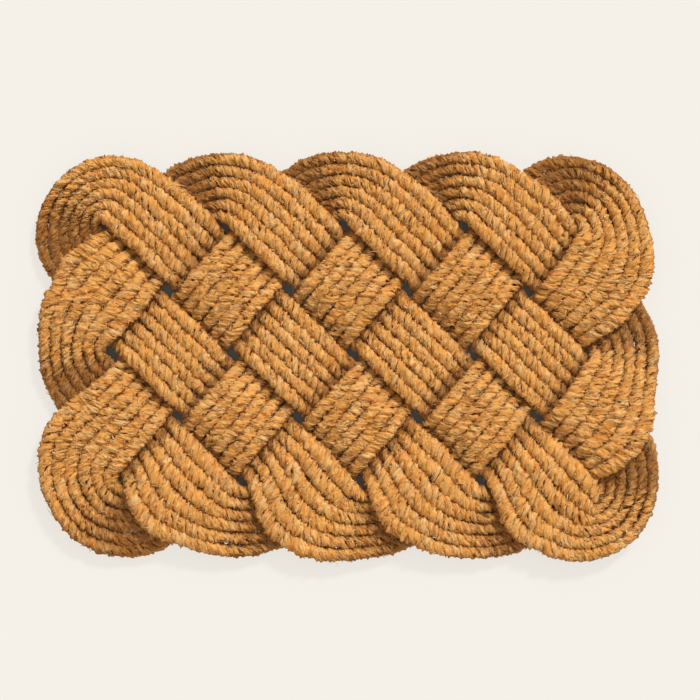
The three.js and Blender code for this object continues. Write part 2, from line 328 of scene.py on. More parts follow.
def list_turns():
    """Every turn: (middle, side, tightness, drawn, reach)."""
    turns = []
    for index, point in enumerate(CIRCUIT):
        earlier, later = beside(index)
        if not is_edge(point) or is_edge(CIRCUIT[earlier]):
            continue
        middle = ROUTE.places[index]
        tightness, drawn, reach = BIGHT_TIGHTNESS, 0, BIGHT_REACH
        if is_edge(CIRCUIT[later]):
            middle += ROUTE.way(middle, ROUTE.places[later]) / 2
            tightness, drawn = CORNER_TURNS[point]
            reach = CORNER_REACH
        before, after = ROUTE.at(middle - TURN_PROBE)[2], ROUTE.at(middle + TURN_PROBE)[2]
        bend = angle_between(before, after)
        turns.append((middle, math.copysign(1, bend), tightness, drawn * MM, reach))
    return turns


TURNS = list_turns()


def list_visits():
    """Every visit to a crossing: (point, place, is upper, turns next)."""
    visits = []
    for index, point in enumerate(CIRCUIT):
        if is_edge(point):
            continue
        later = CIRCUIT[beside(index)[1]]
        falls_right = (later[0] - point[0]) * (later[1] - point[1]) > 0
        is_upper = falls_right == (point[1] % 2 == 1)
        visits.append((point, ROUTE.places[index], is_upper, is_edge(later)))
    return visits


VISITS = list_visits()


def list_fans():
    """Every fan: (middle, side it opens to, spread of the outermost rope)."""
    fans = []
    for point, place, is_upper, turns_next in VISITS:
        if point not in FANS or not is_upper:
            continue
        spread, past = FANS[point]
        middle = place + (past if turns_next else -past) * MM
        nearest = min(TURNS, key=lambda turn: abs(ROUTE.way(turn[0], place)))
        fans.append((middle, -nearest[1], spread * MM))
    return fans


LIST_OF_FANS = list_fans()


def sideways(run, rope):
    """How far a rope lies left of the route: its place in the band times the
    tightness, plus what the turns draw inward, plus its share of the fans."""
    tightness = np.ones_like(run)
    moved = np.zeros_like(run)
    for middle, side, tight, drawn, reach in TURNS:
        amount = swell(ROUTE.way(middle, run), reach)
        tightness -= (1 - tight) * amount
        moved += side * drawn * amount
    for middle, side, spread in LIST_OF_FANS:
        rank = rope / (ROPE_COUNT - 1)
        rank = rank if side > 0 else 1 - rank
        moved += side * spread * rank * swell(ROUTE.way(middle, run), FAN_REACH)
    return (rope - (ROPE_COUNT - 1) / 2) * ROPE_PITCH * tightness + moved


def rope_plan(run, rope):
    """Middle of a rope seen from above: the route's point, stepped sideways."""
    x, y, heading = ROUTE.at(run)
    step = sideways(run, rope)
    return np.stack([x - np.sin(heading) * step, y + np.cos(heading) * step], -1)


def rope_direction(run, rope):
    """Rate of change of the rope's middle along the route."""
    return (rope_plan(run + MM, rope) - rope_plan(run - MM, rope)) / (2 * MM)


def cross_flat(a, b):
    """Upward part of the cross product of two flat vectors."""
    return a[..., 0] * b[..., 1] - a[..., 1] * b[..., 0]


def meeting_places(rope, other_rope):
    """Where one rope meets another rope of the crossing band, at every visit:
    Newton steps from both middles until the two plan lines meet."""
    places = {}
    for point, place, is_upper, _ in VISITS:
        places[point, is_upper] = place
    run = np.array([place for _, place, _, _ in VISITS])
    other = np.array([places[point, not is_upper] for point, _, is_upper, _ in VISITS])
    for _ in range(MEETING_STEPS):
        gap = rope_plan(other, other_rope) - rope_plan(run, rope)
        along = rope_direction(run, rope)
        across = rope_direction(other, other_rope)
        area = cross_flat(along, across)
        run = run + cross_flat(gap, across) / area
        other = other + cross_flat(gap, along) / area
    return run


def joint_index():
    """Which visit holds the joints: the lower one at the joint's crossing."""
    return next(
        index for index, (point, _, is_upper, _) in enumerate(VISITS)
        if point == JOINT_POINT and not is_upper
    )


def held_stretches(rope):
    """From the joint once round to the joint again: where each level stretch
    starts and ends, and 1 where it is an upper one, 0 where it is a lower."""
    ends = np.stack([meeting_places(rope, 0), meeting_places(rope, ROPE_COUNT - 1)])
    upper = np.array([is_upper for _, _, is_upper, _ in VISITS], float)
    order = joint_index() + np.arange(len(VISITS) + 1)
    lap = order // len(VISITS) * ROUTE.length
    order = order % len(VISITS)
    return ends.min(0)[order] + lap, ends.max(0)[order] + lap, upper[order]


def rope_section(run, rope, from_joint):
    """Width and height of a rope: it spreads until it meets its neighbours,
    taller in the middle of a tight turn, and thin where its ends are bound."""
    tallness = np.ones_like(run)
    for middle, _, tight, _, reach in TURNS:
        tallness += (1 / tight - 1) * swell(ROUTE.way(middle, run), reach * TALL_SHARE)
    here = sideways(run, rope)
    others = [other for other in (rope - 1, rope + 1) if 0 <= other < ROPE_COUNT]
    room = [np.abs(sideways(run, other) - here) for other in others]
    width = np.minimum(sum(room) / len(room), ROPE_WIDTH * WIDEST)
    neck = NECK_SCALE + (1 - NECK_SCALE) * smooth_share((from_joint - NECK_LENGTH) / NECK_TAPER)
    return width * neck, ROPE_HEIGHT * tallness * neck


class RopeLine:
    """The middle of one rope from its joint round to the joint again. Its table
    holds centre, side and up directions, half width and half height at even
    distances along the rope."""

    def __init__(self, rope):
        """The height goes from each level stretch to the next in a smooth S,
        and the whole line is then measured out again in even steps."""
        first, last, upper = held_stretches(rope)
        joint = (first[0] + last[0]) / 2
        run = np.arange(joint, joint + ROUTE.length, LINE_STEP)
        first, last = first + DIP_EARLY * upper, last - DIP_EARLY * upper
        visit = np.searchsorted(first, run, side="right") - 1
        visit = np.clip(visit, 0, len(first) - 2)
        share = smooth_share((run - last[visit]) / (first[visit + 1] - last[visit]))
        level = upper[visit] + (upper[visit + 1] - upper[visit]) * share
        from_joint = np.minimum(run - joint, joint + ROUTE.length - run)
        width, height = rope_section(run, rope, from_joint)
        z = ROPE_HEIGHT / 2 + level * LEVEL_RISE
        z = np.clip(z, height / 2, MAT_TOP - height / 2)
        heading = ROUTE.at(run)[2]
        left = np.stack([-np.sin(heading), np.cos(heading)], 1)
        stray = WANDER * ripples(ROPE_STRAY, rope, run)
        stray *= smooth_share((from_joint - NECK_LENGTH) / CORNER_REACH)
        plan = rope_plan(run, rope) + left * stray[:, None]
        centre = np.concatenate([plan, z[:, None]], 1)
        ahead = unit(np.gradient(centre, axis=0))
        side = unit(np.stack([-ahead[:, 1], ahead[:, 0], np.zeros(len(run))], 1))
        up = np.cross(ahead, side)
        steps = np.linalg.norm(np.diff(centre, axis=0), axis=1)
        distance = np.concatenate([[0], np.cumsum(steps)])
        halves = np.stack([width, height], 1) / 2
        table = np.concatenate([centre, side, up, halves], 1)
        self.length = distance[-1]
        even = np.linspace(0, self.length, int(self.length / LINE_STEP))
        self.step = even[1]
        self.table = np.stack([np.interp(even, distance, column) for column in table.T], 1)

    def at(self, distance):
        """Centre, side, up, half width and half height, read off the table
        between the two nearest rows, and so never quite at the last one."""
        place = np.clip(distance / self.step, 0, len(self.table) - 1.001)
        row = place.astype(int)
        share = (place - row)[..., None]
        values = self.table[row] * (1 - share) + self.table[row + 1] * share
        return np.split(values, (3, 6, 9, 10), axis=-1)

    def place(self, distance, across, upward):
        """Points beside the rope's middle: the centre plus side times across
        half widths plus up times upward half heights, never under the floor."""
        centre, side, up, half_width, half_height = self.at(distance)
        points = centre + side * half_width * across[..., None]
        points = points + up * half_height * upward[..., None]
        points[..., 2] = np.maximum(points[..., 2], FLOOR_CLEARANCE)
        return points


LINES = [RopeLine(rope) for rope in range(ROPE_COUNT)]


# --- meshes -----------------------------------------------------------------------
def new_mesh_object(name, points, quads, triangles):
    """A shaded-smooth mesh object from whole arrays of points and faces."""
    mesh = bpy.data.meshes.new(name)
    corners = np.concatenate([quads.ravel(), triangles.ravel()]).astype(np.int32)
    quad_starts = np.arange(len(quads)) * 4
    triangle_starts = len(quads) * 4 + np.arange(len(triangles)) * 3
    starts = np.concatenate([quad_starts, triangle_starts]).astype(np.int32)
    mesh.vertices.add(len(points))
    mesh.vertices.foreach_set("co", points.astype(np.float32).ravel())
    mesh.loops.add(len(corners))
    mesh.loops.foreach_set("vertex_index", corners)
    mesh.polygons.add(len(starts))
    mesh.polygons.foreach_set("loop_start", starts)
    mesh.update(calc_edges=True)
    mesh.shade_smooth()
    piece = bpy.data.objects.new(name, mesh)
    bpy.context.scene.collection.objects.link(piece)
    return piece


def tube_faces(rings, columns):
    """Faces of a closed tube: quads between rings of points, then a pole point
    after the last ring for each end, joined to it by triangles."""
    ring = np.arange(rings - 1)[:, None] * columns
    here = np.arange(columns)[None, :]
    following = (here + 1) % columns
    quads = np.stack([
        ring + here, ring + following, ring + columns + following, ring + columns + here,
    ], -1).reshape(-1, 4)
    first_pole = rings * columns
    last_ring = (rings - 1) * columns
    here, following = here[0], following[0]
    start = np.stack([np.full(columns, first_pole), following, here], -1)
    end = np.stack([np.full(columns, first_pole + 1), last_ring + here, last_ring + following], -1)
    return quads, np.concatenate([start, end])


def add_values(piece, name, values, kind="FLOAT"):
    """Stores one value, or one vector, for every point of a mesh."""
    attribute = piece.data.attributes.new(name, kind, "POINT")
    field = "vector" if kind == "FLOAT_VECTOR" else "value"
    attribute.data.foreach_set(field, values.astype(np.float32).ravel())


def finish_piece(piece, material, slot, *nodes):
    """Gives a new piece its material and its place in the frame."""
    piece.data.materials.append(material)
    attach(piece, BODY)
    if nodes:
        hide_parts(*nodes)


# --- twisted strands ------------------------------------------------------------
def strand_outline():
    """Angles and radii round one strand, for a rope of radius 1: a circle cut
    off by the two planes where the strand presses on its neighbours."""
    wall = STRAND_MIDDLE * math.sin(math.pi / STRAND_COUNT)
    edge = math.pi / 2 + math.pi / STRAND_COUNT - math.acos(wall / STRAND_RADIUS)
    edge += STRAND_OVERLAP
    outer = np.linspace(-edge, edge, STRAND_OUTER_POINTS)
    angles = np.append(outer, math.pi)
    radii = np.append(np.full(STRAND_OUTER_POINTS, STRAND_RADIUS), STRAND_MIDDLE)
    return angles, radii


def lay_angle(distance, rope, strand, sizes):
    """How far a strand has turned round its rope at this distance: one turn
    every lay length, hurrying and lagging with the rope and a little alone."""
    drift = sizes.lay_unevenness * ripples(LAY_DRIFT, rope, distance)
    wobble = sizes.wobble * ripples(STRAND_WOBBLE, strand_number(rope, strand), distance)
    even = FULL_TURN * distance / sizes.lay_length
    return even + drift + rope * LAY_START + FULL_TURN * strand / STRAND_COUNT + wobble


def strand_number(rope, strand):
    """Counts the strands through all ropes, so that each has its own lumps."""
    return rope * STRAND_COUNT + strand


def make_strand(rope, strand, sizes, material):
    """One strand: its outline turned round the rope's middle once every lay
    length, each radius times 1 plus lumps, with rough points all over."""
    line = LINES[rope]
    number = strand_number(rope, strand)
    rng = np.random.default_rng(number)
    rings = int(line.length / RING_STEP)
    distance = np.linspace(0, line.length - JOINT_GAP, rings)[:, None]
    angles, radii = strand_outline()
    lumps = ripples(LONG_LUMPS, number, distance, angles)
    lumps += SHORT_LUMP_SIZE * ripples(SHORT_LUMPS, number, distance, angles)
    rough = sizes.roughness * rng.standard_normal((rings, len(angles)))
    radius = radii * (1 + sizes.lumpiness * lumps + rough)
    radius[:, -1] = radii[-1]
    sway = sizes.lumpiness * ripples(STRAND_SWAY, number, distance)
    out = STRAND_MIDDLE + sway + radius * np.cos(angles)
    beside_it = radius * np.sin(angles)
    lay = lay_angle(distance, rope, strand, sizes)
    across = out * np.cos(lay) - beside_it * np.sin(lay)
    upward = out * np.sin(lay) + beside_it * np.cos(lay)
    points = line.place(distance, across * sizes.fullness, upward * sizes.loft)
    poles = points[[0, -1]].mean(1)
    points = np.concatenate([points.reshape(-1, 3), poles])
    quads, triangles = tube_faces(rings, len(angles))
    letter = "abc"[strand]
    piece = new_mesh_object(f"coir_rope_{rope + 1}_strand_{letter}", points, quads, triangles)
    grain = strand_grain_place(distance, out, beside_it, number)
    add_values(piece, "grain_place", with_poles(grain.reshape(-1, 3), rings), "FLOAT_VECTOR")
    # painted shade in the hollows between strands and between ropes
    hollow_shade = painted_hollow_shade(angles, upward)
    add_values(piece, "hollow_shade", with_poles(hollow_shade.reshape(-1, 1), rings))
    finish_piece(piece, material, "coir_rope", f"coir_rope_{rope + 1}")


def painted_hollow_shade(angles, upward):
    """How much painted shade a point gets in a hollow, where shade falls: growing
    round a strand towards its neighbour strand, and towards the rope's widest line,
    where the next rope lies against it. The larger of the two counts."""
    shade_between_strands = smooth_share((np.abs(angles) - STRAND_SEAM_START) / STRAND_SEAM_WIDTH)
    shade_between_ropes = smooth_share((ROPE_SEAM_REACH - np.abs(upward)) / ROPE_SEAM_REACH)
    return np.maximum(STRAND_SEAM_SHADE * shade_between_strands, shade_between_ropes)


def strand_grain_place(distance, out, beside_it, number):
    """Where a point would be if its strand were straight: fibres run along
    the third number. Every strand gets its own stretch of that line."""
    half = ROPE_WIDTH / 2
    along = distance + number * GRAIN_SHIFT + np.zeros_like(out)
    return np.stack([out * half, beside_it * half, along], -1)


def with_poles(values, rings):
    """Values for a tube's points, with those of its two pole points added."""
    columns = len(values) // rings
    return np.concatenate([values, values[:1], values[(rings - 1) * columns:][:1]])


# --- stray fibres -----------------------------------------------------------------
FIBRE_SHAPE = np.array([0.0, 1.0, 0.95, 0.75, 0.0])   # thickness along a fibre
FIBRE_SIDES = 3
FIBRE_SEED = 100
FINENESS_SPREAD = 0.4         # how unlike in thickness the fibres are
FINENESS_POWER = 1.5          # a fibre twice as fine is 2 to this power times as long
LENGTH_EVENNESS = 5.0         # the higher, the more alike the lengths are
LIFT_EVENNESS = 3.0
USUAL_SLANT = 0.25            # radians from the rope's own direction
SLANT_SPREAD = 0.5
BEND_SPREAD = 0.5             # radians round the rope, over a fibre's length
FREE_LIFT = 0.32              # rope radii between a free fibre's tip and the rope
LAID_LIFT = 0.1
LIFT_POWER = 1.4
ROOT_REACH = (0.66, 0.92)     # rope radii from the rope's middle to a fibre's root
SURFACING = 1.2               # the higher, the sooner a fibre comes to the surface
TUCK_DEPTH = 0.25             # rope radii that the tip of a laid fibre goes back in
TUCK_POWER = 4


def draw_fibres(rng, count, line, sizes):
    """The random numbers of each fibre, as columns."""
    start = rng.uniform(0, line.length, count)
    angle = rng.uniform(0, FULL_TURN, count)
    fineness = np.exp(rng.normal(0.0, FINENESS_SPREAD, count))
    length = rng.gamma(LENGTH_EVENNESS, sizes.fibre_length / LENGTH_EVENNESS, count)
    slant = rng.normal(USUAL_SLANT, SLANT_SPREAD, count)
    way = np.where(rng.uniform(size=count) < 0.5, -1.0, 1.0)
    is_free = rng.uniform(size=count) < sizes.free_share
    lift = rng.gamma(LIFT_EVENNESS, 1 / LIFT_EVENNESS, count)
    root = rng.uniform(*ROOT_REACH, count)
    bend = rng.normal(0.0, BEND_SPREAD, count)
    values = start, angle, fineness, length, slant, way, is_free, lift, root, bend
    return [value[:, None] for value in values]


def fibre_paths(rng, count, line, sizes):
    """Middle lines of all fibres, two directions square to each, and how fine
    it is. A fibre runs along the rope and a little round it, rises from its
    root to the surface, lifts off or tucks in towards its tip, and stays two
    widths above the floor."""
    start, angle, fineness, length, slant, way, is_free, lift, root, bend = draw_fibres(
        rng, count, line, sizes)
    share = np.linspace(0, 1, len(FIBRE_SHAPE))[None, :]
    length = length * fineness ** FINENESS_POWER
    lift = lift * np.where(is_free, FREE_LIFT, LAID_LIFT)
    tuck = np.where(is_free, 0.0, TUCK_DEPTH)
    distance = start + way * length * np.cos(slant) * share
    turned = way * (length / (ROPE_WIDTH / 2)) * np.sin(slant) * share + bend * share * share
    reach = root + (1.0 - root) * np.sin(np.pi * np.minimum(share * SURFACING, 0.5))
    reach = reach + lift * share ** LIFT_POWER - tuck * share ** TUCK_POWER
    distance = np.clip(distance, 0, line.length - JOINT_GAP)
    angle = angle + turned
    path = line.place(distance, reach * np.cos(angle), reach * np.sin(angle))
    path[..., 2] = np.maximum(path[..., 2], 2 * sizes.fibre_width)
    ahead = unit(np.gradient(path, axis=1))
    middle = line.at(distance)[0]
    side = unit(np.cross(ahead, unit(path - middle) + NUDGE))
    return path, side, np.cross(side, ahead), fineness


def make_stray_fibres(rope, sizes, material):
    """Loose fibres of one rope, each a thin closed tube: small rings round its
    path, thickest near the root, and one point at each end."""
    rng = np.random.default_rng(FIBRE_SEED + rope)
    count = sizes.fibre_count
    path, side, other, fineness = fibre_paths(rng, count, LINES[rope], sizes)
    turns = FULL_TURN * np.arange(FIBRE_SIDES) / FIBRE_SIDES
    thickness = sizes.fibre_width / 2 / fineness
    radius = (thickness * FIBRE_SHAPE)[..., None, None]
    ring = side[:, :, None] * np.cos(turns)[:, None] + other[:, :, None] * np.sin(turns)[:, None]
    body = (path[:, :, None] + radius * ring)[:, 1:-1].reshape(count, -1, 3)
    points = np.concatenate([body, path[:, :1], path[:, -1:]], 1)
    points[..., 2] = np.maximum(points[..., 2], FLOOR_CLEARANCE)
    quads, triangles = tube_faces(len(FIBRE_SHAPE) - 2, FIBRE_SIDES)
    offset = np.arange(count)[:, None, None] * points.shape[1]
    piece = new_mesh_object(
        f"stray_fibres_{rope + 1}", points.reshape(-1, 3),
        (quads + offset).reshape(-1, 4), (triangles + offset).reshape(-1, 3),
    )
    add_values(piece, "tint", np.repeat(rng.uniform(size=count), points.shape[1]))
    finish_piece(piece, material, "coir_rope")


# --- twine ------------------------------------------------------------------------
TWINE_SIDES = 7
TWINE_STEPS = 26              # rings in one turn of twine
TWINE_TUCK = 0.4              # of a turn, over which each end dives out of sight
TWINE_SUNK = 0.55             # widths that a tucked end lies under the rope's surface


def make_winding(name, node, rope, offset, length, sizes, material, slot):
    """Twine wound round the bound part of a rope: a round section carried
    along a close spiral, its two ends tucked under the first and last turn."""
    line = LINES[rope]
    width = sizes.twine_width
    turns = (length - width) / width
    steps = int(turns * TWINE_STEPS)
    share = np.linspace(0, 1, steps)[:, None]
    distance = offset + (share[:, 0] - 0.5) * (length - width)
    distance = np.where(distance < 0, distance + line.length, distance)
    spin = FULL_TURN * turns * share
    tuck = smooth_share(np.minimum(share, 1 - share) * turns / TWINE_TUCK)
    centre, side, up, half_width, half_height = line.at(distance)
    ahead = np.cross(side, up)
    out = side * np.cos(spin) + up * np.sin(spin)
    reach_x = (half_width + width * (tuck - TWINE_SUNK)) * np.cos(spin)
    reach_y = (half_height + width * (tuck - TWINE_SUNK)) * np.sin(spin)
    path = centre + side * reach_x + up * reach_y
    around = FULL_TURN * np.arange(TWINE_SIDES) / TWINE_SIDES
    section = out[:, None] * np.cos(around)[:, None] - ahead[:, None] * np.sin(around)[:, None]
    points = path[:, None] + section * width / 2
    points[..., 2] = np.maximum(points[..., 2], FLOOR_CLEARANCE)
    poles = points[[0, -1]].mean(1)
    points = np.concatenate([points.reshape(-1, 3), poles])
    quads, triangles = tube_faces(steps, TWINE_SIDES)
    piece = new_mesh_object(name, points, quads, triangles)
    along = (spin * ROPE_WIDTH / 2 + np.zeros(TWINE_SIDES))[..., None]
    flat_section = np.stack([np.cos(around), np.sin(around)], -1) * width / 2
    place = np.concatenate([np.broadcast_to(flat_section, (steps, TWINE_SIDES, 2)), along], -1)
    add_values(piece, "grain_place", with_poles(place.reshape(-1, 3), steps), "FLOAT_VECTOR")
    # no painted hollow shade on the twine
    add_values(piece, "hollow_shade", np.zeros(len(points)))
    finish_piece(piece, material, slot, node)


# --- materials --------------------------------------------------------------------
GRAIN_GROUP = "Fibre grain"
SWAY_SIZE = 7 * MM            # of the swells in which the fibres wander sideways
CLUMP_SCALE = 0.28            # a clump is 1 over this many fibres wide
FIBRE_LENGTHS = 6             # a fibre of the grain is this many widths long
FIBRE_WANDER = 4              # and wanders this many widths
FIBRE_TONES = (0.31, 0.50, 0.66)     # noise values of the dark, usual and light tone
CLUMP_RELIEF = (0.35, 0.65)          # noise values of the lowest and highest clump
BUMP_STRENGTH = 0.8
FIBRE_ROUGHNESS = (0.3, 0.7, 0.95, 0.75)   # two noise values and the roughness at each

# Noise value where a tone starts, value where it is full, and its share there.
DARK_CLUMPS = (0.56, 0.34, 0.55)
RED_PATCHES = (0.5, 0.7, 0.55)
LIGHT_PATCHES = (0.48, 0.3, 0.5)
# the last is the painted shade in the hollows, from the stored hollow value
HOLLOW_SHADE_MIX = (0, 1, 0.75)

# Painted shade at the middle height, where the ropes dive between the mat's two layers and the seams
# fall in shade.
LAYER_SHADE_REACH = 6.5 * MM         # painted shade lies this far above and below the middle height
LAYER_SHADE_SHARE = 0.75


class Wiring:
    """The nodes of one material or node group, and the ways to join them."""

    def __init__(self, tree):
        self.nodes = tree.nodes
        self.links = tree.links

    def feed(self, node, inputs):
        """Gives a node its inputs, by name or place: each is another node's
        socket, which is joined to it, or a value, which is set."""
        for key, value in inputs.items():
            if isinstance(value, bpy.types.NodeSocket):
                self.links.new(value, node.inputs[key])
            else:
                node.inputs[key].default_value = value

    def add(self, kind, inputs=None, **options):
        """A new node with its options set and its inputs fed."""
        node = self.nodes.new(kind)
        for name, value in options.items():
            setattr(node, name, value)
        self.feed(node, inputs or {})
        return node

    def number(self, operation, *values):
        """One step of arithmetic with sockets and numbers."""
        step = self.add("ShaderNodeMath", dict(enumerate(values)), operation=operation)
        return step.outputs[0]

    def vector(self, operation, *values):
        """One step of arithmetic with vectors."""
        step = self.add("ShaderNodeVectorMath", dict(enumerate(values)), operation=operation)
        return step.outputs[0]

    def joined(self, x, y, z):
        """A vector of three sockets."""
        return self.add("ShaderNodeCombineXYZ", {"X": x, "Y": y, "Z": z}).outputs[0]

    def noise(self, vector, scale, detail, roughness=0.6):
        """Smooth noise of about 0 to 1; its outputs are a value and a colour."""
        inputs = {"Vector": vector, "Scale": scale, "Detail": detail, "Roughness": roughness}
        return self.add("ShaderNodeTexNoise", inputs).outputs

    def ranged(self, value, low, high, to_low=0, to_high=1):
        """A value moved from one range to another and held inside it."""
        return self.add("ShaderNodeMapRange", {
            "Value": value, "From Min": low, "From Max": high, "To Min": to_low, "To Max": to_high,
        }).outputs["Result"]

    def mixed(self, share, tone, colour):
        """A tone with a share of a colour mixed in."""
        inputs = {"Factor": share, 6: tone, 7: (*colour, 1)}
        return self.add("ShaderNodeMix", inputs, data_type="RGBA").outputs[2]

    def ramp(self, value, stops):
        """A value turned into a colour between (position, colour) stops."""
        ramp = self.add("ShaderNodeValToRGB", {"Fac": value})
        elements = ramp.color_ramp.elements
        elements[0].position = stops[0][0]
        elements[-1].position = stops[-1][0]
        for position, _ in stops[1:-1]:
            elements.new(position)
        for element, (_, colour) in zip(elements, stops):
            element.color = (*colour, 1)
        return ramp.outputs["Color"]

    def stored(self, name):
        """What a mesh stores under this name for each of its points."""
        return self.add("ShaderNodeAttribute", attribute_type="GEOMETRY", attribute_name=name).outputs

    def place(self):
        """The point itself, measured from its object's origin."""
        return self.add("ShaderNodeTexCoord").outputs["Object"]


def make_fibre_grain():
    """Fine fibres lying along a rope: noise drawn out along the third number
    of Place, gathered in wandering clumps, and slow patches of another tone."""
    group = bpy.data.node_groups.new(GRAIN_GROUP, "ShaderNodeTree")
    group.interface.new_socket(name="Place", in_out="INPUT", socket_type="NodeSocketVector")
    for name, size in (
        ("Fibre width", 0.4 * MM), ("Fibre length", 9 * MM), ("Wander", 2 * MM), ("Patch size", 30 * MM),
    ):
        socket = group.interface.new_socket(name=name, in_out="INPUT", socket_type="NodeSocketFloat")
        socket.default_value = size
    for name in ("Fibres", "Clumps", "Patches"):
        group.interface.new_socket(name=name, in_out="OUTPUT", socket_type="NodeSocketFloat")
    wiring = Wiring(group)
    given = wiring.add("NodeGroupInput").outputs
    sway = wiring.noise(given["Place"], 1 / SWAY_SIZE, detail=1)["Color"]
    sway = wiring.vector("SUBTRACT", sway, (0.5, 0.5, 0.5))
    sway = wiring.add("ShaderNodeVectorMath", {0: sway, "Scale": given["Wander"]}, operation="SCALE")
    swayed = wiring.vector("ADD", given["Place"], sway.outputs[0])
    fibre_size = wiring.joined(given["Fibre width"], given["Fibre width"], given["Fibre length"])
    in_fibres = wiring.vector("DIVIDE", swayed, fibre_size)
    patch_size = wiring.joined(*[given["Patch size"]] * 3)
    in_patches = wiring.vector("DIVIDE", given["Place"], patch_size)
    wiring.add("NodeGroupOutput", {
        "Fibres": wiring.noise(in_fibres, 1, detail=4, roughness=0.65)["Fac"],
        "Clumps": wiring.noise(in_fibres, CLUMP_SCALE, detail=2)["Fac"],
        "Patches": wiring.noise(in_patches, 1, detail=2)["Fac"],
    })
    return group


def new_material(name):
    """A material, the wiring of its nodes, and its shader."""
    material = bpy.data.materials.new(name)
    material.use_nodes = True
    tree = material.node_tree
    shader = next(node for node in tree.nodes if node.type == "BSDF_PRINCIPLED")
    return material, Wiring(tree), shader


def shade_between_layers(wiring):
    """How much painted shade a point gets between the mat's two layers, where the
    seams lie in shade: most at the middle height, 0 a little above and below it."""
    height = wiring.add("ShaderNodeSeparateXYZ", {0: wiring.place()}).outputs["Z"]
    away = wiring.number("ABSOLUTE", wiring.number("SUBTRACT", height, MAT_TOP / 2))
    return wiring.ranged(away, LAYER_SHADE_REACH, 0, 0, LAYER_SHADE_SHARE)


def fibrous_material(name, colours, fibre_width, relief):
    """Spun fibre: tones by fibre, clump and patch, painted shade in the hollows and
    at the middle height between the two layers, rough, with the fibres standing up as bumps."""
    material, wiring, shader = new_material(name)
    grain = wiring.add("ShaderNodeGroup", {
        "Place": wiring.stored("grain_place")["Vector"],
        "Fibre width": fibre_width,
        "Fibre length": fibre_width * FIBRE_LENGTHS,
        "Wander": fibre_width * FIBRE_WANDER,
    }, node_tree=bpy.data.node_groups.get(GRAIN_GROUP) or make_fibre_grain())
    fibre, clump, patch = grain.outputs
    tone = wiring.ramp(fibre, list(zip(FIBRE_TONES, (colours.dark, colours.main, colours.light))))
    for value, (start, full, share), colour in (
        (clump, DARK_CLUMPS, colours.dark),
        (patch, RED_PATCHES, colours.red),
        (patch, LIGHT_PATCHES, colours.light),
        # painted shade in the hollows between strands and between ropes
        (wiring.stored("hollow_shade")["Fac"], HOLLOW_SHADE_MIX, colours.hollow_shade),
    ):
        tone = wiring.mixed(wiring.ranged(value, start, full, 0, share), tone, colour)
    # painted shade at the middle height between the mat's two layers
    tone = wiring.mixed(shade_between_layers(wiring), tone, colours.layer_shade)
    height = wiring.number("ADD", fibre, wiring.ranged(clump, *CLUMP_RELIEF))
    bump = wiring.add("ShaderNodeBump", {
        "Distance": relief, "Strength": BUMP_STRENGTH, "Height": height,
    })
    wiring.feed(shader, {
        "Base Color": tone,
        "Normal": bump.outputs["Normal"],
        "Roughness": wiring.ranged(fibre, *FIBRE_ROUGHNESS),
        "Specular IOR Level": 0.1,
        "Sheen Weight": 0.1,
        "Sheen Roughness": 0.6,
        "Sheen Tint": (*colours.straw, 1),
    })
    return material


def stray_fibre_material(colours):
    """Loose fibres: each its own tone, from brown to straw, and a bit glossy."""
    material, wiring, shader = new_material("Stray coir fibre")
    tone = wiring.ramp(wiring.stored("tint")["Fac"], [
        (0.0, colours.dark), (0.3, colours.main), (0.8, colours.light), (1.0, colours.straw),
    ])
    # painted shade at the middle height between the mat's two layers
    tone = wiring.mixed(shade_between_layers(wiring), tone, colours.layer_shade)
    wiring.feed(shader, {"Base Color": tone, "Roughness": 0.7, "Specular IOR Level": 0.2})
    return material


def pale_floor_material(colours):
    """A plain pale floor that glows like a light table, but not under the mat:
    the glow grows with the distance from a rectangle, round its corners."""
    material, wiring, shader = new_material("Pale floor")
    margin = GLOW_INSET + GLOW_CORNER
    half_sides = (CAD_BOX[1].x - margin, CAD_BOX[1].y - margin, 0)
    past = wiring.vector("SUBTRACT", wiring.vector("ABSOLUTE", wiring.place()), half_sides)
    outside = wiring.vector("MAXIMUM", past, (0, 0, 0))
    distance = wiring.add("ShaderNodeVectorMath", {0: outside}, operation="LENGTH").outputs["Value"]
    glow = wiring.ranged(distance, GLOW_CORNER, GLOW_CORNER + GLOW_FADE, DIM_GLOW, FLOOR_GLOW)
    wiring.feed(shader, {
        "Base Color": (*[part * FLOOR_PAINT for part in colours.floor], 1),
        "Emission Color": (*colours.floor, 1),
        "Emission Strength": glow,
        "Roughness": 1,
        "Specular IOR Level": 0,
    })
    return material


# --- what a user may change -------------------------------------------------------
def colour_setting(name, text, value):
    """A colour that a user may change."""
    return bpy.props.FloatVectorProperty(
        name=name, description=text, default=value, subtype="COLOR", min=0, max=1)


def length_setting(name, text, value, low, high):
    """A length that a user may change."""
    return bpy.props.FloatProperty(
        name=name, description=text, default=value, min=low, max=high,
        unit="LENGTH", subtype="DISTANCE")


def angle_setting(name, text, value, low, high):
    """An angle that a user may change."""
    return bpy.props.FloatProperty(
        name=name, description=text, default=value, min=low, max=high,
        unit="ROTATION", subtype="ANGLE")


def share_setting(name, text, value, low, high):
    """A share that a user may change."""
    return bpy.props.FloatProperty(
        name=name, description=text, default=value, min=low, max=high, subtype="FACTOR")


